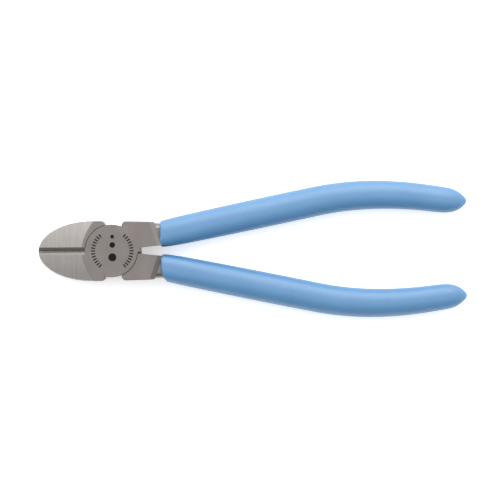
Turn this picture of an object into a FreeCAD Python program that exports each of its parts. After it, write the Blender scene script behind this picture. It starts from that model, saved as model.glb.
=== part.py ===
import FreeCAD, Part
import math
import os
import Sketcher

# Diagonal cutting pliers with a lap joint, lying on their back.
# The origin is on the hinge axis, in the plane of the back face.
# +X runs to the handles, +Y to the upper handle and +Z to the front face.
# Each half is drawn in its own frame, with its jaw at -Y, its disc in the upper layer
# and its handle at +Y. The back half is the same drawing turned over about the X axis.

DIMENSIONS = [
    ("joint_thickness", 10.0, "both layers of the lap joint together"),
    ("lap_gap", 0.04, "between the two layers"),
    ("disc_radius", 9.85, "round face of each layer"),
    ("recess_gap", 0.10, "around the other half's disc"),
    ("hub_radius", 10.9, "full thickness behind the hollow of the jaws"),
    ("seam_chamfer", 0.15, "along the edge of the disc"),
    ("tip_reach", 27.3, "hinge axis to the tip of the jaws"),
    ("head_centre", 7.1, "hinge axis to the widest place of the head"),
    ("head_half_width", 11.16, "head outline, a half ellipse"),
    ("jaw_heel", 2.35, "hinge axis to the back of the jaw"),
    ("heel_radius", 1.4, "back corner of the jaw"),
    ("edge_gap", 0.02, "cutting edge to the middle plane"),
    ("face_start", 10.85, "hinge axis to where the jaw starts to slope"),
    ("face_angle", 9.4, "slope of the jaw towards its tip, degrees"),
    ("face_crown_radius", 84.0, "crown across the jaw"),
    ("face_cut_start", 5.0, "hinge axis to the near end of the cuts that slope the jaw"),
    ("face_cut_half_width", 14.0, "cuts that slope the jaw, across"),
    ("face_cut_height", 4.0, "cuts that slope the jaw, above the face"),
    ("cut_end", 30.0, "hinge axis to the far end of every cut on the jaw"),
    ("overshoot", 1.0, "how far the other cuts reach past the surface"),
    ("bevel_half_width", 1.45, "narrow bevel of the cutting edge, front"),
    ("bevel_depth", 1.0, "narrow bevel of the cutting edge, front"),
    ("bevel_end", 9.75, "hinge axis to the end of the front bevel"),
    ("edge_land", 0.5, "height of the cutting edge"),
    ("hollow_start", 8.0, "hinge axis to the near end of the hollow of the jaw"),
    ("hollow_angle", 33.0, "large bevel behind the cutting edge, degrees"),
    ("shoulder_start", 3.85, "hinge axis to the front of the shoulder"),
    ("shoulder_half_width", 11.03, "shoulder at its front"),
    ("shoulder_radius", 1.6, "front corner of the shoulder"),
    ("shoulder_end", 15.6, "hinge axis to where the shoulder steps in"),
    ("shoulder_end_half_width", 10.8, "shoulder at its end"),
    ("crotch_end", 11.1, "hinge axis to the bottom of the gap between the handles"),
    ("crotch_half_gap", 1.17, "gap at its bottom"),
    ("toe_overlap", 0.35, "bridge at the bottom of the gap, past the middle plane"),
    ("toe_radius", 1.0, "rounding of the bridge towards the handles"),
    ("neck_outer_x", 16.2, "outer corner of the neck's slanted end"),
    ("neck_outer_y", 10.28, "outer corner of the neck's slanted end"),
    ("neck_inner_x", 19.0, "inner corner of the neck's slanted end"),
    ("neck_inner_y", 2.02, "inner corner of the neck's slanted end"),
    ("facet_run", 1.8, "facet at the neck's slanted end, along the face"),
    ("facet_drop", 1.0, "facet at the neck's slanted end, into the face"),
    ("edge_chamfer", 0.35, "outer edges of the forging"),
    ("rivet_radius", 3.0, "shank of the hinge rivet"),
    ("rivet_head_radius", 4.2, "head of the hinge rivet, flush with the face"),
    ("rivet_head_height", 1.2, "cone of the rivet's head"),
    ("rivet_gap", 0.04, "running fit in the back half"),
    ("handle_angle", 11.6, "straight part of the handle, degrees"),
    ("bow_peak_x", 99.0, "widest place of the handles"),
    ("bow_peak_y", 20.2, "widest place of the handles"),
    ("bow_radius", 114.5, "bend before the widest place"),
    ("tail_radius", 140.0, "bend behind the widest place"),
    ("shank_start", 14.5, "thinner steel behind the neck, inside its end"),
    ("shank_inner", 1.7, "inner side of the shank at its start"),
    ("shank_outer", 10.3, "outer side of the shank"),
    ("tang_start", 18.6, "steel inside the handle"),
    ("tang_end", 117.0, "steel inside the handle"),
    ("tang_width", 8.0, "steel inside the handle"),
    ("tang_thickness", 7.2, "steel inside the handle"),
    ("tang_corner", 2.0, "long edges of the steel inside the handle"),
    ("grip_start", 18.3, "hinge axis to the front of the grip"),
    ("grip_width", 11.3, "across the widest part of the grip"),
    ("grip_widest", 62.0, "hinge axis to the widest part of the grip"),
    ("grip_taper", 1.5, "width lost from the widest part to the end's start"),
    ("grip_thickness", 10.0, "height of the grip"),
    ("grip_corner", 0.42, "long edges of the grip, as a share of its thickness"),
    ("grip_end_start", 122.0, "hinge axis to the start of the rounded end"),
    ("grip_end", 132.7, "hinge axis to the end of the grip"),
    ("grip_end_power", 3.3, "how late the end narrows"),
    ("grip_end_fullness", 0.92, "how blunt the end is"),
    ("grip_end_share", 0.97, "share of the narrowing that is drawn, to leave a small end face"),
    ("lift_start", 116.0, "hinge axis to where the end starts to turn outwards"),
    ("end_lift", 1.67, "how far the end turns outwards"),
]

TOUCHING = 0.001
GRIP_SECTIONS = 9
GRIP_END_SECTIONS = 5

doc = FreeCAD.newDocument("diagonal_cutters")
sheet = doc.addObject("Spreadsheet::Sheet", "dims")
for row, (alias, size, note) in enumerate(DIMENSIONS, start=1):
    sheet.set("A%d" % row, alias)
    sheet.set("B%d" % row, str(size))
    sheet.set("C%d" % row, note)
    sheet.setAlias("B%d" % row, alias)
doc.recompute()


def value(expression):
    """The number that an expression over the sheet gives."""
    return float(sheet.evalExpression(str(expression)))


# ---------------------------------------------------------------- sketches

def new_sketch(body, name, role, offset="0"):
    """A sketch on one of the body's origin planes, moved out by an offset."""
    sketch = body.newObject("Sketcher::SketchObject", name)
    plane = next(item for item in body.Origin.OriginFeatures if item.Role == role)
    sketch.AttachmentSupport = (plane, [""])
    sketch.MapMode = "FlatFace"
    sketch.setExpression("AttachmentOffset.Base.z", str(offset))
    return sketch


def bind(sketch, constraint, expression):
    """Add a constraint whose size follows an expression over the sheet."""
    index = sketch.addConstraint(constraint)
    sketch.setExpression("Constraints[%d]" % index, str(expression))


def pin(sketch, edge, end, corner):
    """Hold one end of an edge at a pair of expressions."""
    across, along = corner
    bind(sketch, Sketcher.Constraint("DistanceX", -1, 1, edge, end, value(across)), across)
    bind(sketch, Sketcher.Constraint("DistanceY", -1, 1, edge, end, value(along)), along)


def arc_middle(start, finish, radius):
    """The middle of the short arc between two points; a positive radius bends it to the right."""
    chord = finish - start
    sag = abs(radius) - math.sqrt(radius ** 2 - (chord.Length / 2) ** 2)
    side = FreeCAD.Vector(chord.y, -chord.x, 0).normalize() * math.copysign(sag, radius)
    return (start + finish) * 0.5 + side


def outline(sketch, corners, bends=None, closed=True):
    """Straight edges through the corners, with arcs where bends gives a signed radius.

    The key of a bend is the number of the corner that the arc starts from."""
    bends = bends or {}
    points = [FreeCAD.Vector(value(x), value(y), 0) for x, y in corners]
    count = len(corners) if closed else len(corners) - 1
    for edge in range(count):
        start = points[edge]
        finish = points[(edge + 1) % len(points)]
        if edge in bends:
            middle = arc_middle(start, finish, value(bends[edge]))
            sketch.addGeometry(Part.Arc(start, middle, finish), False)
        else:
            sketch.addGeometry(Part.LineSegment(start, finish), False)
    ends = [edge_ends(sketch, edge, points[edge]) for edge in range(count)]
    for edge in range(count):
        pin(sketch, edge, ends[edge][0], corners[edge])
        if edge in bends:
            radius = "abs(%s)" % bends[edge]
            bind(sketch, Sketcher.Constraint("Radius", edge, value(radius)), radius)
        if edge + 1 < count or closed:
            following = (edge + 1) % count
            sketch.addConstraint(
                Sketcher.Constraint("Coincident", edge, ends[edge][1], following, ends[following][0]))
    if not closed:
        pin(sketch, count - 1, ends[-1][1], corners[-1])


def edge_ends(sketch, edge, start):
    """Which end of an edge is its start on the outline: arcs are stored counter-clockwise."""
    if (sketch.getPoint(edge, 1) - start).Length < 1e-6:
        return 1, 2
    return 2, 1


def rounded_rectangle(sketch, centre_x, centre_y, width, height, radius):
    """A rectangle with four round corners; every size is an expression."""
    signs = [(-1, -1), (1, -1), (1, 1), (-1, 1)]
    corners = []
    for number, (sx, sy) in enumerate(signs):
        far_x = "%s + %d * (%s) / 2" % (centre_x, sx, width)
        far_y = "%s + %d * (%s) / 2" % (centre_y, sy, height)
        on_side = (far_x, "%s - %d * (%s)" % (far_y, sy, radius))
        on_end = ("%s - %d * (%s)" % (far_x, sx, radius), far_y)
        corners += [on_side, on_end] if number % 2 == 0 else [on_end, on_side]
    bends = {number: radius for number in range(0, len(corners), 2)}
    outline(sketch, corners, bends)


# ---------------------------------------------------------------- features

def pad(body, sketch, length):
    feature = body.newObject("PartDesign::Pad", sketch.Name + "_pad")
    feature.Profile = sketch
    feature.setExpression("Length", length)
    return feature


def pocket(body, sketch, length):
    """Cut along +Z from the sketch."""
    feature = body.newObject("PartDesign::Pocket", sketch.Name + "_pocket")
    feature.Profile = sketch
    feature.Reversed = True
    feature.setExpression("Length", length)
    return feature


def revolve(body, kind, sketch):
    """Turn a sketch on the XZ plane about the hinge axis."""
    feature = body.newObject("PartDesign::" + kind, sketch.Name + "_turned")
    feature.Profile = sketch
    feature.ReferenceAxis = (sketch, ["V_Axis"])
    feature.Angle = 360
    return feature


def loft_cut(body, name, near, section):
    """Cut away a loft from a station to past the tip; section draws the outline at a station."""
    sketches = []
    for suffix, station in (("near", near), ("far", "0 - dims.cut_end")):
        sketch = new_sketch(body, name + "_" + suffix, "YZ_Plane", station)
        section(sketch, station)
        sketches.append(sketch)
    feature = body.newObject("PartDesign::SubtractiveLoft", name)
    feature.Profile = sketches[0]
    feature.Sections = [sketches[1]]
    feature.Ruled = True
    return feature


def dress(body, kind, name, base, wanted):
    """A fillet or chamfer on the edges of a feature that pass a test."""
    doc.recompute()
    edges = ["Edge%d" % (number + 1) for number, edge in enumerate(base.Shape.Edges) if wanted(edge)]
    feature = body.newObject("PartDesign::" + kind, name)
    feature.Base = (base, edges)
    return feature


def is_upright(edge):
    start = edge.valueAt(edge.FirstParameter)
    finish = edge.valueAt(edge.LastParameter)
    return math.hypot(finish.x - start.x, finish.y - start.y) < TOUCHING


def break_rim(body, name, base, sketch, sides):
    """Chamfer the front and back edges of the walls that some sides of a sketch stand for."""
    height = FreeCAD.Vector(0, 0, value("dims.joint_thickness"))
    walls = Part.Compound([sketch.Geometry[side].toShape().extrude(height) for side in sides])

    def on_rim(edge):
        first, last = edge.FirstParameter, edge.LastParameter
        places = [edge.valueAt(first), edge.valueAt((first + last) / 2), edge.valueAt(last)]
        return not is_upright(edge) and all(
            walls.distToShape(Part.Vertex(place))[0] < TOUCHING for place in places)

    feature = dress(body, "Chamfer", name, base, on_rim)
    feature.setExpression("Size", "dims.edge_chamfer")
    return feature


# ---------------------------------------------------------------- handle path

def path_corners():
    """Ends of the straight, the first bend and the second bend of the handle's middle line."""
    slope = "tan(dims.handle_angle)"
    bend_x = "(dims.bow_peak_x - dims.bow_radius * sin(dims.handle_angle))"
    bend_y = "(dims.bow_peak_y - dims.bow_radius * (1 - cos(dims.handle_angle)))"
    start_y = "%s - (%s - dims.tang_start) * %s" % (bend_y, bend_x, slope)
    fall = "(dims.tail_radius - sqrt(dims.tail_radius^2 - (dims.tang_end - dims.bow_peak_x)^2))"
    return [
        ("dims.tang_start", start_y),
        (bend_x, bend_y),
        ("dims.bow_peak_x", "dims.bow_peak_y"),
        ("dims.tang_end", "dims.bow_peak_y - " + fall),
    ]


def middle_line(station):
    """Distance of the handle's middle line from the X axis, at a station."""
    bend_x, bend_y = path_corners()[1]
    if value(station) <= value(bend_x):
        return "%s - (%s - %s) * tan(dims.handle_angle)" % (bend_y, bend_x, station)
    radius = "dims.bow_radius" if value(station) <= value("dims.bow_peak_x") else "dims.tail_radius"
    away = "(%s - dims.bow_peak_x)" % station
    middle = "dims.bow_peak_y - (%s - sqrt(%s^2 - %s^2))" % (radius, radius, away)
    if value(station) > value("dims.lift_start"):
        late = "((%s - dims.lift_start) / (dims.grip_end - dims.lift_start))" % station
        middle += " + dims.end_lift * %s^3" % late
    return middle


# ---------------------------------------------------------------- one half

def make_half(name, front_is_up, rivet_gap):
    """Jaw, disc, shoulder, neck and tang, forged in one piece."""
    body = doc.addObject("PartDesign::Body", name)
    body.Label = name

    def level(depth):
        """Height of a place that lies a depth below the pliers' front face."""
        return "dims.joint_thickness - (%s)" % depth if front_is_up else str(depth)

    def face_depth(station):
        """Depth of the sloping front of the jaw, on its middle line."""
        return "(tan(dims.face_angle) * (0 - dims.face_start - (%s)))" % station

    # jaw
    jaw = new_sketch(body, name + "_jaw", "XY_Plane")
    rim_sides = draw_jaw(jaw)
    pad(body, jaw, "dims.joint_thickness")

    # front and back of the jaw slope to the tip, slightly crowned
    def front_section(sketch, station):
        face_section(sketch, station, level)

    def back_section(sketch, station):
        face_section(sketch, station, lambda depth: level("dims.joint_thickness - (%s)" % depth))

    def face_section(sketch, station, height):
        reach = "dims.face_cut_half_width"
        crown = "(dims.face_crown_radius - sqrt(dims.face_crown_radius^2 - %s^2))" % reach
        rim = height("%s + %s" % (face_depth(station), crown))
        above = height("0 - dims.face_cut_height")
        corners = [("0 - " + reach, rim), (reach, rim), (reach, above), ("0 - " + reach, above)]
        up = value(above) > value(rim)
        bend = "-dims.face_crown_radius" if up else "dims.face_crown_radius"
        outline(sketch, corners, {0: bend})

    loft_cut(body, name + "_front_face", "0 - dims.face_cut_start", front_section)
    loft_cut(body, name + "_back_face", "0 - dims.face_cut_start", back_section)

    # large hollow behind the cutting edge
    def hollow_section(sketch, station):
        apex = "(%s + dims.bevel_depth + dims.edge_land)" % face_depth(station)
        half = "(tan(dims.hollow_angle) * (dims.joint_thickness + dims.overshoot - %s))" % apex
        base = level("dims.joint_thickness + dims.overshoot")
        outline(sketch, [("0", level(apex)), (half, base), ("0 - " + half, base)])

    loft_cut(body, name + "_hollow", "0 - dims.hollow_start", hollow_section)

    # full thickness again around the joint
    hub = new_sketch(body, name + "_hub", "XY_Plane")
    heel_x = "0 - dims.jaw_heel - dims.overshoot"
    heel_y = "0 - sqrt(dims.hub_radius^2 - (dims.jaw_heel + dims.overshoot)^2)"
    outline(
        hub,
        [
            ("0 - dims.hub_radius", "0 - dims.edge_gap"),
            (heel_x, heel_y),
            (heel_x, "0 - dims.edge_gap"),
        ],
        {0: "dims.hub_radius"},
    )
    full_head = pad(body, hub, "dims.joint_thickness")
    break_rim(body, name + "_jaw_rim", full_head, jaw, rim_sides)

    # narrow bevel in front of the cutting edge
    def bevel_section(sketch, station):
        apex = "(%s + dims.bevel_depth)" % face_depth(station)
        half = "(dims.bevel_half_width / dims.bevel_depth * (%s + dims.overshoot))" % apex
        above = level("0 - dims.overshoot")
        outline(sketch, [("0", level(apex)), (half, above), ("0 - " + half, above)])

    loft_cut(body, name + "_bevel", "0 - dims.bevel_end", bevel_section)

    # shoulder and neck
    shoulder = new_sketch(body, name + "_shoulder", "XY_Plane")
    outline(
        shoulder,
        [
            ("dims.shoulder_start", "dims.crotch_half_gap"),
            ("dims.crotch_end", "dims.crotch_half_gap"),
            ("dims.neck_inner_x", "dims.neck_inner_y"),
            ("dims.neck_outer_x", "dims.neck_outer_y"),
            ("dims.shoulder_end", "dims.shoulder_end_half_width"),
            ("dims.shoulder_start + dims.shoulder_radius", "dims.shoulder_half_width"),
            ("dims.shoulder_start", "dims.shoulder_half_width - dims.shoulder_radius"),
        ],
        {5: "dims.shoulder_radius"},
    )
    pad(body, shoulder, "dims.joint_thickness")

    # disc in the upper layer, with the toe that closes the bottom of the gap
    layer_floor = "dims.joint_thickness / 2 + dims.lap_gap / 2"
    layer_height = "dims.joint_thickness / 2 - dims.lap_gap / 2"
    disc = new_sketch(body, name + "_disc", "XY_Plane", layer_floor)
    circle(disc, "dims.disc_radius")
    pad(body, disc, layer_height)
    toe = new_sketch(body, name + "_toe", "XY_Plane", layer_floor)
    outline(
        toe,
        [
            ("dims.shoulder_start", "0 - dims.toe_overlap"),
            ("dims.crotch_end", "0 - dims.toe_overlap"),
            ("dims.crotch_end", "dims.crotch_half_gap"),
            ("dims.shoulder_start", "dims.crotch_half_gap"),
        ],
    )
    bridge = pad(body, toe, layer_height)

    def on_toe_end(edge):
        """The edge of the bridge that faces the handles, on the pliers' outer face."""
        ends = [vertex.Point for vertex in edge.Vertexes]
        return all(
            abs(end.x - value("dims.crotch_end")) < TOUCHING
            and abs(end.z - value("dims.joint_thickness")) < TOUCHING for end in ends)

    rounded = dress(body, "Fillet", name + "_toe_rim", bridge, on_toe_end)
    rounded.setExpression("Radius", "dims.toe_radius")
    cut_facet(body, name + "_upper_facet", True)
    facets = cut_facet(body, name + "_lower_facet", False)
    break_rim(body, name + "_shoulder_rim", facets, shoulder, (4, 5))

    # recess for the other half's disc
    recess = new_sketch(body, name + "_recess", "XY_Plane")
    circle(recess, "dims.disc_radius + dims.recess_gap")
    pocket(body, recess, layer_floor)

    # bore for the rivet
    bore = new_sketch(body, name + "_bore", "XZ_Plane")
    wall = "(dims.rivet_radius + %s)" % rivet_gap
    rim = "(dims.rivet_head_radius + %s)" % rivet_gap
    cone = "dims.overshoot * (dims.rivet_head_radius - dims.rivet_radius) / dims.rivet_head_height"
    below = "dims.joint_thickness / 2 - dims.overshoot"
    above = "dims.joint_thickness + dims.overshoot"
    outline(
        bore,
        [
            ("0", below),
            (wall, below),
            (wall, "dims.joint_thickness - dims.rivet_head_height"),
            (rim + " + " + cone, above),
            ("0", above),
        ],
    )
    bored = revolve(body, "Groove", bore)

    def on_seam(edge):
        """The free rim of the disc, on the pliers' outer face."""
        if not isinstance(edge.Curve, Part.Circle):
            return False
        outside = abs(edge.CenterOfMass.z - value("dims.joint_thickness")) < TOUCHING
        return outside and abs(edge.Curve.Radius - value("dims.disc_radius")) < TOUCHING

    seam = dress(body, "Chamfer", name + "_seam", bored, on_seam)
    seam.setExpression("Size", "dims.seam_chamfer")

    # shank and tang
    near = new_sketch(body, name + "_shank_near", "YZ_Plane", "dims.shank_start")
    rounded_rectangle(
        near,
        "(dims.shank_inner + dims.shank_outer) / 2",
        "dims.joint_thickness / 2",
        "dims.shank_outer - dims.shank_inner",
        "dims.tang_thickness",
        "dims.tang_corner",
    )
    far = new_sketch(body, name + "_shank_far", "YZ_Plane", "dims.tang_start")
    tang_section(far)
    shank = body.newObject("PartDesign::AdditiveLoft", name + "_shank")
    shank.Profile = near
    shank.Sections = [far]
    shank.Ruled = True
    path = new_sketch(body, name + "_path", "XY_Plane", "dims.joint_thickness / 2")
    outline(path, path_corners(), {1: "-dims.bow_radius", 2: "-dims.tail_radius"}, closed=False)
    profile = new_sketch(body, name + "_tang_profile", "YZ_Plane", "dims.tang_start")
    tang_section(profile)
    tang = body.newObject("PartDesign::AdditivePipe", name + "_tang")
    tang.Profile = profile
    tang.Spine = (path, ["Edge1", "Edge2", "Edge3"])

    return body


def tang_section(sketch):
    """Section of the tang where it starts."""
    rounded_rectangle(
        sketch,
        path_corners()[0][1],
        "dims.joint_thickness / 2",
        "dims.tang_width / cos(dims.handle_angle)",
        "dims.tang_thickness",
        "dims.tang_corner",
    )


def circle(sketch, radius):
    centre = FreeCAD.Vector(0, 0, 0)
    sketch.addGeometry(Part.Circle(centre, FreeCAD.Vector(0, 0, 1), value(radius)), False)
    sketch.addConstraint(Sketcher.Constraint("Coincident", 0, 3, -1, 1))
    bind(sketch, Sketcher.Constraint("Radius", 0, value(radius)), radius)


def draw_jaw(sketch):
    """Half of the head's outline; gives the numbers of its flat, heel corner and quarter ellipse."""
    inner = "0 - dims.edge_gap"
    outer = "0 - dims.edge_gap - dims.head_half_width"
    flat_end = "0 - dims.jaw_heel - dims.heel_radius"
    corners = [
        ("0 - dims.head_centre", outer),
        (flat_end, outer),
        ("0 - dims.jaw_heel", outer + " + dims.heel_radius"),
        ("0 - dims.jaw_heel", inner),
        ("0 - dims.tip_reach", inner),
    ]
    outline(sketch, corners, {1: "dims.heel_radius"}, closed=False)
    centre = FreeCAD.Vector(value("0 - dims.head_centre"), value(inner), 0)
    long_radius = value("dims.tip_reach - dims.head_centre")
    ellipse = Part.Ellipse(centre, long_radius, value("dims.head_half_width"))
    quarter = sketch.addGeometry(Part.ArcOfEllipse(ellipse, math.pi, 1.5 * math.pi), False)
    last_line = quarter - 1
    sketch.addConstraint(Sketcher.Constraint("Coincident", quarter, 1, last_line, 2))
    sketch.addConstraint(Sketcher.Constraint("Coincident", quarter, 2, 0, 1))
    pin(sketch, quarter, 3, ("0 - dims.head_centre", inner))
    return 0, 1, quarter


def cut_facet(body, name, upper):
    """Cut a facet along the slanted end of the neck, at its top or its bottom."""
    lean = "(dims.neck_inner_x - dims.neck_outer_x) / (dims.neck_outer_y - dims.neck_inner_y)"

    def height(depth):
        return "dims.joint_thickness - (%s)" % depth if upper else str(depth)

    sketches = []
    for suffix, reach in (("inner", "0"), ("outer", "dims.neck_outer_y + 2 * dims.overshoot")):
        sketch = new_sketch(body, name + "_" + suffix, "XZ_Plane", "0 - (%s)" % reach)
        end = "(dims.neck_inner_x + (dims.neck_inner_y - (%s)) * %s)" % (reach, lean)
        above = height("0 - dims.overshoot")
        outline(
            sketch,
            [
                (end + " - dims.facet_run", height("0")),
                (end, height("dims.facet_drop")),
                (end + " + dims.overshoot", height("dims.facet_drop")),
                (end + " + dims.overshoot", above),
                (end + " - dims.facet_run", above),
            ],
        )
        sketches.append(sketch)
    feature = body.newObject("PartDesign::SubtractiveLoft", name)
    feature.Profile = sketches[0]
    feature.Sections = [sketches[1]]
    feature.Ruled = True
    return feature


# ---------------------------------------------------------------- rivet and grips

def make_rivet(name):
    """Rivet with a cone head at both ends, flush with the faces."""
    body = doc.addObject("PartDesign::Body", name)
    body.Label = name
    sketch = new_sketch(body, name + "_profile", "XZ_Plane")
    outline(
        sketch,
        [
            ("0", "0"),
            ("dims.rivet_head_radius", "0"),
            ("dims.rivet_radius", "dims.rivet_head_height"),
            ("dims.rivet_radius", "dims.joint_thickness - dims.rivet_head_height"),
            ("dims.rivet_head_radius", "dims.joint_thickness"),
            ("0", "dims.joint_thickness"),
        ],
    )
    revolve(body, "Revolution", sketch)
    return body


def grip_stations():
    """Place, middle, width and thickness of the grip's sections, as expressions."""
    lengthwise = "(dims.grip_start + %f * (dims.grip_end_start - dims.grip_start))"
    places = [lengthwise % (number / (GRIP_SECTIONS - 1)) for number in range(GRIP_SECTIONS)]
    fade = "dims.grip_taper * ((%s - dims.grip_widest) / (dims.grip_end_start - dims.grip_widest))^2"
    stations = []
    for place in places:
        loss = fade % place
        width = "(dims.grip_width - %s)" % loss
        late = value(place) > value("dims.grip_widest")
        thickness = "(dims.grip_thickness - %s)" % (loss if late else "0")
        stations.append((place, middle_line(place), width, thickness))
    narrowing = "(1 - (%f * dims.grip_end_share)^dims.grip_end_power)^dims.grip_end_fullness"
    for number in range(1, GRIP_END_SECTIONS + 1):
        share = math.sin(math.pi / 2 * number / GRIP_END_SECTIONS)
        place = "(dims.grip_end_start + %f * (dims.grip_end - dims.grip_end_start))" % share
        left = narrowing % share
        width = "%s * (dims.grip_width - dims.grip_taper)" % left
        thickness = "%s * (dims.grip_thickness - dims.grip_taper)" % left
        stations.append((place, middle_line(place), width, thickness))
    return stations


def make_grip(name, half, placement):
    """Plastic sleeve, dipped onto the tang: a loft through rounded sections, less the steel."""
    outer = doc.addObject("PartDesign::Body", name + "_outer")
    sketches = []
    for number, (place, middle, width, thickness) in enumerate(grip_stations()):
        sketch = new_sketch(outer, "%s_section_%d" % (name, number), "YZ_Plane", place)
        radius = "dims.grip_corner * (%s)" % thickness
        rounded_rectangle(sketch, middle, "dims.joint_thickness / 2", width, thickness, radius)
        sketches.append(sketch)
    loft = outer.newObject("PartDesign::AdditiveLoft", name + "_loft")
    loft.Profile = sketches[0]
    loft.Sections = sketches[1:]
    outer.Placement = placement
    sleeve = doc.addObject("Part::Cut", name)
    sleeve.Label = name
    sleeve.Base = outer
    sleeve.Tool = half
    return sleeve


# ---------------------------------------------------------------- assembly

front_half = make_half("front_half", True, "0")
back_half = make_half("back_half", False, "dims.rivet_gap")
turned_over = FreeCAD.Placement(
    FreeCAD.Vector(0, 0, value("dims.joint_thickness")),
    FreeCAD.Rotation(FreeCAD.Vector(1, 0, 0), 180),
)
back_half.Placement = turned_over
pivot_rivet = make_rivet("pivot_rivet")
front_grip = make_grip("front_grip", front_half, FreeCAD.Placement())
back_grip = make_grip("back_grip", back_half, turned_over)
doc.recompute()

for item in doc.Objects:
    if "Invalid" in item.State or "Error" in item.State:
        raise RuntimeError("%s failed: %s" % (item.Label, item.State))

pieces = [front_half, back_half, pivot_rivet, front_grip, back_grip]
for piece in pieces:
    shape = piece.Shape
    if shape.isNull() or not shape.isValid() or len(shape.Solids) != 1:
        raise RuntimeError("%s has no single valid solid" % piece.Label)

os.makedirs("parts", exist_ok=True)
for piece in pieces:
    piece.Shape.exportStep("parts/%s.step" % piece.Label)
    print("%s: %.1f mm3" % (piece.Label, piece.Shape.Volume))
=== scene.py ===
import math

import bmesh
import bpy
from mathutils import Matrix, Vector


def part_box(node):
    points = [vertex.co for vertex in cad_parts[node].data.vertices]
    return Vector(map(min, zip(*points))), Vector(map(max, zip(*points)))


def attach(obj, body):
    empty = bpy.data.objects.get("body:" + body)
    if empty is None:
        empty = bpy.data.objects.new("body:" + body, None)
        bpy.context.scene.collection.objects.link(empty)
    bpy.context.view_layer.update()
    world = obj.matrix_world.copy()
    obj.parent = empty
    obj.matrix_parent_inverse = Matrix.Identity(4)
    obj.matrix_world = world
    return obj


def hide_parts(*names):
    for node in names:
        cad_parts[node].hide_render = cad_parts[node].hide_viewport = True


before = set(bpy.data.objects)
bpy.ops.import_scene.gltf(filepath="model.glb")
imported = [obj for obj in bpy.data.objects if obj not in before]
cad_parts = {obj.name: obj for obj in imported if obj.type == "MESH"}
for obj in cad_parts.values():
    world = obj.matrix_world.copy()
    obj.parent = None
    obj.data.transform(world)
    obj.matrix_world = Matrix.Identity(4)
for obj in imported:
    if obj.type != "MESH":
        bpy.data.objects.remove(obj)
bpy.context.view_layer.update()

# All lengths are in millimetres until the meshes and nodes are made; MM turns them into metres.
# The frame is the CAD model's: hinge axis at the origin, handles at +X, front face at the top.
MM = 0.001

JOINT_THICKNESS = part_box("pivot_rivet")[1].z / MM
MIDDLE_HEIGHT = JOINT_THICKNESS / 2
GRIP_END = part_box("front_grip")[1].x / MM

# Handle's middle line, as the tang runs: a straight, a bend to the widest place and a bend back.
HANDLE_ANGLE = math.radians(11.6)
BOW_PEAK_X = 99.0
BOW_PEAK_Y = 20.2
BOW_RADIUS = 114.5
TAIL_RADIUS = 140.0
END_LIFT_START = 116.0
END_LIFT = 1.67

# Grip sleeve. A section's power says how square it is: 2 is an ellipse, more is squarer.
GRIP_MOUTH = 18.0
GRIP_WIDTH = 11.15
GRIP_WIDEST = 62.0
GRIP_TAPER = 1.45
GRIP_THICKNESS = 9.9
GRIP_POWER = 2.35
SLIMMER_AT_MOUTH = 0.85
SLIMMER_LENGTH = 3.5
SQUARER_AT_MOUTH = 0.6
SQUARER_LENGTH = 12.0
MOUTH_SHAPE_LENGTH = 5.0
MOUTH_POWER = 2.9
LIP_LENGTH = 0.9

# Blunt end: a cone that would end a little behind the grip's end, cut short by a small round nose.
GRIP_END_START = 122.0
CONE_OVERRUN = 0.35
CONE_POWER = 3.3
CONE_FULLNESS = 0.92
NOSE_RADIUS = 0.5

# Inner wall, just outside the steel
SHANK_HALF_WIDTH = 4.05
SHANK_HALF_THICKNESS = 3.65
SHANK_POWER = 4.5
TANG_END = 117.5

# Points around a ring, and rings along each stretch of the sleeve
AROUND = 96
INNER_STEPS = 26
LIP_STEPS = 14
BODY_STEPS = 110
END_STEPS = 36

# Noise values at which a blend of two colours starts and ends
NOISE_LOW = 0.3
NOISE_HIGH = 0.7


# ---------------------------------------------------------------- handle path

def middle_line(x):
    """Distance of the handle's middle line from the X axis."""
    bend_x = BOW_PEAK_X - BOW_RADIUS * math.sin(HANDLE_ANGLE)
    bend_y = BOW_PEAK_Y - BOW_RADIUS * (1 - math.cos(HANDLE_ANGLE))
    if x < bend_x:
        return bend_y - (bend_x - x) * math.tan(HANDLE_ANGLE)
    radius = BOW_RADIUS if x < BOW_PEAK_X else TAIL_RADIUS
    fall = radius - math.sqrt(radius ** 2 - (x - BOW_PEAK_X) ** 2)
    late = max(0.0, (x - END_LIFT_START) / (GRIP_END - END_LIFT_START))
    return BOW_PEAK_Y - fall + END_LIFT * late ** 3


def direction(x):
    """Unit vector along the handle's middle line."""
    step = 0.5
    rise = middle_line(x + step) - middle_line(x - step)
    return Vector((2 * step, rise)).normalized()


def end_rounding(x):
    """Share of the full section that is left in the grip's blunt end."""
    late = max(0.0, (x - GRIP_END_START) / (GRIP_END + CONE_OVERRUN - GRIP_END_START))
    cone = (1 - late ** CONE_POWER) ** CONE_FULLNESS
    before_nose = min(1.0, max(0.0, GRIP_END - x) / NOSE_RADIUS)
    return cone * math.sqrt(1 - (1 - before_nose) ** 2)


def half_sizes(x):
    """Half width and half thickness of the grip."""
    fade = GRIP_TAPER * ((x - GRIP_WIDEST) / (GRIP_END_START - GRIP_WIDEST)) ** 2
    slimmer = SLIMMER_AT_MOUTH * math.exp(-(x - GRIP_MOUTH) / SLIMMER_LENGTH)
    width = GRIP_WIDTH - fade - slimmer
    thickness = GRIP_THICKNESS - slimmer / 2
    if x > GRIP_WIDEST:
        thickness -= fade
    keep = end_rounding(x)
    return keep * width / 2, keep * thickness / 2


def squircle(angle, half_width, half_height, power):
    """A point of a rounded section, across the handle and up."""
    across = math.copysign(abs(math.cos(angle)) ** (2 / power), math.cos(angle))
    up = math.copysign(abs(math.sin(angle)) ** (2 / power), math.sin(angle))
    return half_width * across, half_height * up


# ---------------------------------------------------------------- grips

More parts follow.
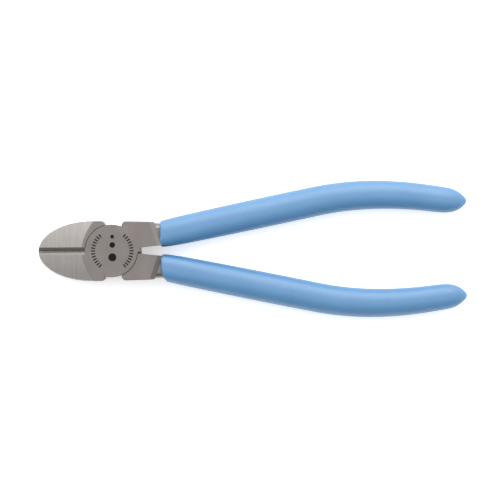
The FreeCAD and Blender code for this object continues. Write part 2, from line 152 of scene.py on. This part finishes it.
class Mouth:
    """Front edge of a dipped grip: how far it starts behind the hinge, across the handle."""

    TONGUE_PLACE = -0.47
    TONGUE_WIDTH = 0.2
    CORNER_POWER = 8

    def __init__(self, middle, tilt, dish, outer_corner, inner_corner, tongue):
        self.middle = middle
        self.tilt = tilt
        self.dish = dish
        self.outer_corner = outer_corner
        self.inner_corner = inner_corner
        self.tongue = tongue

    def start(self, across):
        """Across runs from -1 at the inner side of the handle to +1 at its outer side."""
        corner = self.outer_corner if across > 0 else self.inner_corner
        rounding = corner * across ** self.CORNER_POWER
        tongue = self.tongue * math.exp(-((across - self.TONGUE_PLACE) / self.TONGUE_WIDTH) ** 2)
        return self.middle + self.tilt * across + self.dish * across ** 2 + rounding - tongue


def station(mouth, angle, behind):
    """Place along the handle, some way behind the mouth; the mouth's shape fades away."""
    across = squircle(angle, 1, 1, MOUTH_POWER)[0]
    offset = (mouth.start(across) - GRIP_MOUTH) * math.exp(-behind / MOUTH_SHAPE_LENGTH)
    return min(GRIP_MOUTH + behind + offset, GRIP_END)


def shank_point(angle):
    """A point of the inner wall."""
    return squircle(angle, SHANK_HALF_WIDTH, SHANK_HALF_THICKNESS, SHANK_POWER)


def skin_point(angle, x, behind):
    """A point of the outside: the lip swells from the shank to the full section in a quarter round."""
    swell = math.sqrt(1 - (1 - min(1.0, behind / LIP_LENGTH)) ** 2)
    power = GRIP_POWER + SQUARER_AT_MOUTH * math.exp(-behind / SQUARER_LENGTH)
    outer = squircle(angle, *half_sizes(x), power)
    inner = shank_point(angle)
    return tuple(low + (high - low) * swell for low, high in zip(inner, outer))


def place(x, across, up):
    """A point beside the handle's middle line."""
    along = direction(x)
    return Vector((x - along.y * across, middle_line(x) + along.x * across, MIDDLE_HEIGHT + up))


def make_ring(mouth, behind, inside):
    """One ring of points around the tang, some way behind the mouth."""
    ring = []
    for step in range(AROUND):
        angle = 2 * math.pi * step / AROUND
        x = station(mouth, angle, behind)
        point = shank_point(angle) if inside else skin_point(angle, x, behind)
        ring.append(place(x, *point))
    return ring


def grip_rings(mouth):
    """Rings of points, from the far end of the inner wall, over the lip, to the blunt end."""
    quarter = math.pi / 2
    inner_length = TANG_END - GRIP_MOUTH
    body_end = GRIP_END_START - GRIP_MOUTH
    body_length = body_end - LIP_LENGTH
    end_length = GRIP_END - GRIP_END_START
    inner = [inner_length * (1 - step / INNER_STEPS) for step in range(INNER_STEPS)]
    skin = [LIP_LENGTH * (1 - math.cos(quarter * step / LIP_STEPS)) for step in range(LIP_STEPS + 1)]
    skin += [LIP_LENGTH + body_length * step / BODY_STEPS for step in range(1, BODY_STEPS + 1)]
    skin += [body_end + end_length * math.sin(quarter * step / END_STEPS) for step in range(1, END_STEPS)]
    rings = [make_ring(mouth, behind, inside=True) for behind in inner]
    return rings + [make_ring(mouth, behind, inside=False) for behind in skin]


def make_grip(name, side, mouth):
    """Dip-moulded sleeve with its inner wall, as one closed mesh; side is +1 above the X axis."""
    mesh = bmesh.new()
    rings = []
    for ring in grip_rings(mouth):
        rings.append([mesh.verts.new((p.x * MM, side * p.y * MM, p.z * MM)) for p in ring])
    for near, far in zip(rings, rings[1:]):
        for step in range(AROUND):
            following = (step + 1) % AROUND
            mesh.faces.new((near[step], near[following], far[following], far[step]))
    for ring, x in ((rings[-1], GRIP_END), (rings[0], TANG_END)):
        pole = mesh.verts.new((x * MM, side * middle_line(x) * MM, MIDDLE_HEIGHT * MM))
        for step in range(AROUND):
            mesh.faces.new((ring[step], ring[(step + 1) % AROUND], pole))
    bmesh.ops.recalc_face_normals(mesh, faces=mesh.faces)
    data = bpy.data.meshes.new(name)
    mesh.to_mesh(data)
    mesh.free()
    data.shade_smooth()
    piece = bpy.data.objects.new(name, data)
    bpy.context.scene.collection.objects.link(piece)
    return piece


# ---------------------------------------------------------------- node helpers

class Shader:
    """A principled material and short ways to add nodes to it."""

    def __init__(self, name):
        self.material = bpy.data.materials.new(name)
        self.material.use_nodes = True
        self.tree = self.material.node_tree
        self.surface = self.tree.nodes["Principled BSDF"]
        self.place = self.add("ShaderNodeTexCoord").outputs["Object"]

    def add(self, kind, **settings):
        node = self.tree.nodes.new(kind)
        for key, setting in settings.items():
            setattr(node, key, setting)
        return node

    def feed(self, socket, source):
        if isinstance(source, bpy.types.NodeSocket):
            self.tree.links.new(source, socket)
        else:
            socket.default_value = source

    def math(self, operation, *sources):
        node = self.add("ShaderNodeMath", operation=operation)
        for socket, source in zip(node.inputs, sources):
            self.feed(socket, source)
        return node.outputs[0]

    def noise(self, size, stretch=(1, 1, 1), detail=3.0):
        """Noise with features of a size in millimetres, drawn out by a stretch along each axis."""
        mapping = self.add("ShaderNodeMapping")
        self.feed(mapping.inputs["Vector"], self.place)
        scale = [1 / (size * MM * factor) for factor in stretch]
        mapping.inputs["Scale"].default_value = scale
        noise = self.add("ShaderNodeTexNoise")
        self.feed(noise.inputs["Vector"], mapping.outputs[0])
        noise.inputs["Scale"].default_value = 1
        noise.inputs["Detail"].default_value = detail
        noise.inputs["Roughness"].default_value = 0.55
        return noise.outputs[0]

    def spread(self, source, low, high, new_low=0.0, new_high=1.0):
        node = self.add("ShaderNodeMapRange")
        self.feed(node.inputs[0], source)
        for socket, number in zip(node.inputs[1:5], (low, high, new_low, new_high)):
            socket.default_value = number
        return node.outputs[0]

    def blend(self, share, first, second):
        """Mix two colours, which are sockets 6 and 7 of the node and come out of its socket 2."""
        node = self.add("ShaderNodeMix", data_type="RGBA")
        self.feed(node.inputs["Factor"], share)
        self.feed(node.inputs[6], first)
        self.feed(node.inputs[7], second)
        return node.outputs[2]

    def blend_number(self, share, first, second):
        """Mix two numbers, which are sockets 2 and 3 of the node."""
        node = self.add("ShaderNodeMix", data_type="FLOAT")
        for socket, source in ((0, share), (2, first), (3, second)):
            self.feed(node.inputs[socket], source)
        return node.outputs[0]

    def axes(self):
        """The object's own coordinates in millimetres."""
        node = self.add("ShaderNodeSeparateXYZ")
        self.feed(node.inputs[0], self.place)
        return [self.math("MULTIPLY", node.outputs[axis], 1 / MM) for axis in range(3)]

    def bump(self, height, distance, base=None):
        """A bump whose height is given in millimetres."""
        node = self.add("ShaderNodeBump")
        self.feed(node.inputs["Height"], height)
        node.inputs["Distance"].default_value = distance * MM
        node.inputs["Strength"].default_value = 1.0
        if base:
            self.feed(node.inputs["Normal"], base)
        return node.outputs[0]


# ---------------------------------------------------------------- materials

def within(shader, source, low, high, soft):
    """1 between two limits, 0 outside them, with soft edges."""
    rising = shader.spread(source, low - soft, low + soft)
    falling = shader.spread(source, high - soft, high + soft, 1.0, 0.0)
    return shader.math("MULTIPLY", rising, falling)


def length_of(shader, x, y):
    """Length of a flat vector."""
    squares = shader.math("ADD", shader.math("MULTIPLY", x, x), shader.math("MULTIPLY", y, y))
    return shader.math("SQRT", squares)


def etched_mark(shader, x, y, z):
    """A plain etched wire gauge on the joint: three growing dots between two scales of ticks."""
    soft = 0.06
    centre_x = 0.4
    dots = ((5.3, 0.7), (2.2, 1.05), (-2.4, 1.5))
    scale_inner, scale_outer = 6.4, 7.9
    tick_step = math.radians(8.5)
    last_tick = 6.5 * tick_step
    tick_from, tick_to = 0.27, 0.73
    # half a step puts a tick on the X axis, and the whole steps keep the number positive
    steps_before = 100.5

    front = shader.spread(z, JOINT_THICKNESS - 0.05, JOINT_THICKNESS - 0.02)
    across = shader.math("SUBTRACT", x, centre_x)
    radius = length_of(shader, across, y)
    angle = shader.math("ARCTAN2", y, shader.math("ABSOLUTE", across))
    steps = shader.math("ADD", shader.math("DIVIDE", angle, tick_step), steps_before)
    ticks = within(shader, shader.math("FRACT", steps), tick_from, tick_to, 0.06)
    band = within(shader, radius, scale_inner, scale_outer, soft)
    reach = within(shader, angle, -last_tick, last_tick, 0.01)
    mark = shader.math("MULTIPLY", ticks, shader.math("MULTIPLY", band, reach))
    for height, size in dots:
        away = length_of(shader, across, shader.math("SUBTRACT", y, height))
        dot = shader.spread(away, size - soft, size + soft, 1.0, 0.0)
        mark = shader.math("MAXIMUM", mark, dot)
    return shader.math("MULTIPLY", mark, front)


def jaw_share(shader, x, z):
    """1 on the jaws, wherever they lie below the level of the joint's flat faces, and 0 elsewhere."""
    jaw_start, jaw_full = -6.3, -7.0
    depth = shader.math("MINIMUM", z, shader.math("SUBTRACT", JOINT_THICKNESS, z))
    below_faces = shader.spread(depth, 0.0, 0.05)
    return shader.math("MULTIPLY", shader.spread(x, jaw_start, jaw_full), below_faces)


def steel_colour(shader, on_jaw, y, streaks, grain):
    """Matt steel with specks, lighter on the ground jaws, with painted shade in the groove along the
    cutting edge and a painted shadow line along the seam between the jaws.
    """
    matt_dark, matt_light = (0.212, 0.189, 0.179, 1), (0.242, 0.218, 0.208, 1)
    ground_dark, ground_light = (0.300, 0.281, 0.267, 1), (0.360, 0.341, 0.327, 1)
    speck_colour, speck_share = (0.15, 0.135, 0.13, 1), 0.2
    # painted shade: the groove colour darkens the cutting-edge groove as if it lay in shade
    groove_shade_colour, groove_shade_share, groove_side = (0.245, 0.222, 0.207, 1), 0.8, 1.5
    # painted shadow: a dark line along the seam where the two jaws meet
    seam_shadow_colour, seam_shadow_share, seam_shadow_low, seam_shadow_high = (0.10, 0.085, 0.075, 1), 0.75, -0.45, 0.1

    clouds = shader.spread(shader.noise(7.0, detail=4.0), NOISE_LOW, NOISE_HIGH)
    matt = shader.blend(clouds, matt_dark, matt_light)
    ground = shader.blend(shader.spread(streaks, NOISE_LOW, NOISE_HIGH), ground_dark, ground_light)
    colour = shader.blend(on_jaw, matt, ground)
    specks = shader.math("MULTIPLY", shader.spread(grain, 0.45, 0.75), speck_share)
    colour = shader.blend(specks, colour, speck_colour)
    # painted shade: the groove along the cutting edge is darkened in colour, not by light
    groove_shade = shader.math("MULTIPLY", within(shader, y, -groove_side, groove_side, 0.1), on_jaw)
    colour = shader.blend(shader.math("MULTIPLY", groove_shade, groove_shade_share), colour, groove_shade_colour)
    # painted shadow: the seam between the jaws is darkened in colour, as if in shade
    seam_shadow = shader.math("MULTIPLY", within(shader, y, seam_shadow_low, seam_shadow_high, 0.12), on_jaw)
    return shader.blend(shader.math("MULTIPLY", seam_shadow, seam_shadow_share), colour, seam_shadow_colour)


def make_steel():
    """Forged steel: matt joint with an etched mark, and jaws ground across."""
    mark_colour = (0.02, 0.018, 0.017, 1)
    smoothest, rougher_in_lines, rougher_in_mark = 0.30, 0.16, 0.3
    grain_depth, line_depth = 0.006, 0.010

    shader = Shader("fine_ground_steel")
    x, y, z = shader.axes()
    grain = shader.noise(0.25, detail=2.0)
    streaks = shader.noise(0.45, stretch=(1, 30, 6), detail=4.0)
    rubbed = shader.noise(0.5, stretch=(14, 1, 4), detail=3.0)
    on_jaw = jaw_share(shader, x, z)
    mark = etched_mark(shader, x, y, z)
    colour = shader.blend(mark, steel_colour(shader, on_jaw, y, streaks, grain), mark_colour)
    shader.feed(shader.surface.inputs["Base Color"], colour)
    shader.surface.inputs["Metallic"].default_value = 1.0

    lines = shader.blend_number(on_jaw, rubbed, streaks)
    rough = shader.math("ADD", smoothest, shader.math("MULTIPLY", lines, rougher_in_lines))
    rough = shader.math("ADD", rough, shader.math("MULTIPLY", mark, rougher_in_mark))
    shader.feed(shader.surface.inputs["Roughness"], rough)
    relief = shader.bump(lines, line_depth, base=shader.bump(grain, grain_depth))
    shader.feed(shader.surface.inputs["Normal"], relief)
    return shader.material


def make_grip_plastic():
    """Satin dip-moulded plastic with a fine grain and slight clouds in its colour."""
    dark, light = (0.028, 0.169, 0.365, 1), (0.038, 0.188, 0.395, 1)
    speck_colour, speck_share = (0.07, 0.26, 0.56, 1), 0.15
    smoothest, rougher_in_pores = 0.44, 0.14
    grain_depth, pore_depth = 0.03, 0.04

    shader = Shader("dipped_grip_plastic")
    clouds = shader.spread(shader.noise(9.0, detail=3.0), NOISE_LOW, NOISE_HIGH)
    grain = shader.noise(0.4, detail=2.0)
    pores = shader.noise(1.1, detail=2.0)
    specks = shader.math("MULTIPLY", shader.spread(grain, 0.35, 0.7), speck_share)
    colour = shader.blend(specks, shader.blend(clouds, dark, light), speck_colour)
    shader.feed(shader.surface.inputs["Base Color"], colour)
    shader.surface.inputs["Specular IOR Level"].default_value = 1.0
    shader.surface.inputs["IOR"].default_value = 1.65
    rough = shader.math("ADD", smoothest, shader.math("MULTIPLY", pores, rougher_in_pores))
    shader.feed(shader.surface.inputs["Roughness"], rough)
    relief = shader.bump(grain, grain_depth, base=shader.bump(pores, pore_depth))
    shader.feed(shader.surface.inputs["Normal"], relief)
    return shader.material


def make_floor_material():
    """White table that glows a little, with a faint unevenness."""
    dark, light = (0.92, 0.92, 0.92, 1), (0.96, 0.96, 0.96, 1)
    shader = Shader("pale_floor")
    clouds = shader.spread(shader.noise(60.0), NOISE_LOW, NOISE_HIGH)
    colour = shader.blend(clouds, dark, light)
    shader.feed(shader.surface.inputs["Base Color"], colour)
    shader.surface.inputs["Roughness"].default_value = 0.9
    shader.surface.inputs["Emission Color"].default_value = (1, 1, 1, 1)
    shader.surface.inputs["Emission Strength"].default_value = 0.45
    return shader.material


def wear(piece, material):
    """Make a material the only one of a piece."""
    piece.data.materials.clear()
    piece.data.materials.append(material)


# ---------------------------------------------------------------- stage

def make_floor():
    """A large plane just under the pliers."""
    half_side = 3.0
    drop = 0.0002
    signs = ((-1, -1), (1, -1), (1, 1), (-1, 1))
    mesh = bpy.data.meshes.new("floor")
    corners = [(half_side * across, half_side * along, 0) for across, along in signs]
    mesh.from_pydata(corners, [], [(0, 1, 2, 3)])
    floor = bpy.data.objects.new("floor", mesh)
    floor.location.z = -drop
    bpy.context.scene.collection.objects.link(floor)
    wear(floor, make_floor_material())


def make_light(name, location, size, power):
    """A round soft light aimed at the middle of the pliers; its place and size are in metres."""
    target = Vector((0.05, 0, 0))
    light = bpy.data.lights.new(name, "AREA")
    light.shape = "DISK"
    light.size = size
    light.energy = power
    lamp = bpy.data.objects.new(name, light)
    lamp.location = location
    lamp.rotation_mode = "QUATERNION"
    lamp.rotation_quaternion = (target - lamp.location).to_track_quat("-Z", "Y")
    bpy.context.scene.collection.objects.link(lamp)


def make_world():
    """Soft white studio light, strong from overhead and the upper handle's side, weak opposite."""
    weak, strong = 0.45, 1.65
    weak_below, strong_above = -0.6, 0.5
    world = bpy.data.worlds.new("studio")
    world.use_nodes = True
    tree = world.node_tree
    sky = tree.nodes.new("ShaderNodeTexCoord").outputs["Generated"]
    axes = tree.nodes.new("ShaderNodeSeparateXYZ")
    tree.links.new(sky, axes.inputs[0])
    strength = tree.nodes.new("ShaderNodeMapRange")
    strength.interpolation_type = "SMOOTHSTEP"
    for socket, number in zip(strength.inputs[1:5], (weak_below, strong_above, weak, strong)):
        socket.default_value = number
    tree.links.new(axes.outputs["Y"], strength.inputs[0])
    background = tree.nodes["Background"]
    background.inputs["Color"].default_value = (1, 1, 1, 1)
    tree.links.new(strength.outputs[0], background.inputs["Strength"])
    bpy.context.scene.world = world
    bpy.context.scene.view_settings.view_transform = "Standard"


def make_camera():
    """Straight above the front face, with a long lens, turned by the picture's slight roll."""
    camera = bpy.data.cameras.new("camera")
    camera.lens = 200
    camera.sensor_width = 36
    view_width = 186.05
    centre_x, centre_y = 51.65, -0.08
    roll = math.radians(0.46)
    height = view_width / camera.sensor_width * camera.lens
    piece = bpy.data.objects.new("camera", camera)
    piece.location = Vector((centre_x, centre_y, JOINT_THICKNESS + height)) * MM
    piece.rotation_euler = (0, 0, -roll)
    bpy.context.scene.collection.objects.link(piece)
    bpy.context.scene.camera = piece


# ---------------------------------------------------------------- assembly

make_camera()
make_floor()
make_world()
make_light("key", (0.2, 0.8, 0.8), 1.0, 5)
make_light("jaw_light", (-0.45, 0.4, 0.8), 0.5, 0.6)

steel = make_steel()
for node in ("front_half", "back_half", "pivot_rivet"):
    wear(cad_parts[node], steel)

plastic = make_grip_plastic()
front_mouth = Mouth(middle=18.0, tilt=0.95, dish=0.0, outer_corner=0.0, inner_corner=0.5, tongue=0.6)
back_mouth = Mouth(middle=18.3, tilt=1.6, dish=0.7, outer_corner=0.9, inner_corner=0.6, tongue=0.0)
for name, node, body, side, mouth in (
    ("front_grip_sleeve", "front_grip", "front", 1, front_mouth),
    ("back_grip_sleeve", "back_grip", "back", -1, back_mouth),
):
    sleeve = make_grip(name, side, mouth)
    wear(sleeve, plastic)
    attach(sleeve, body)
    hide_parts(node)
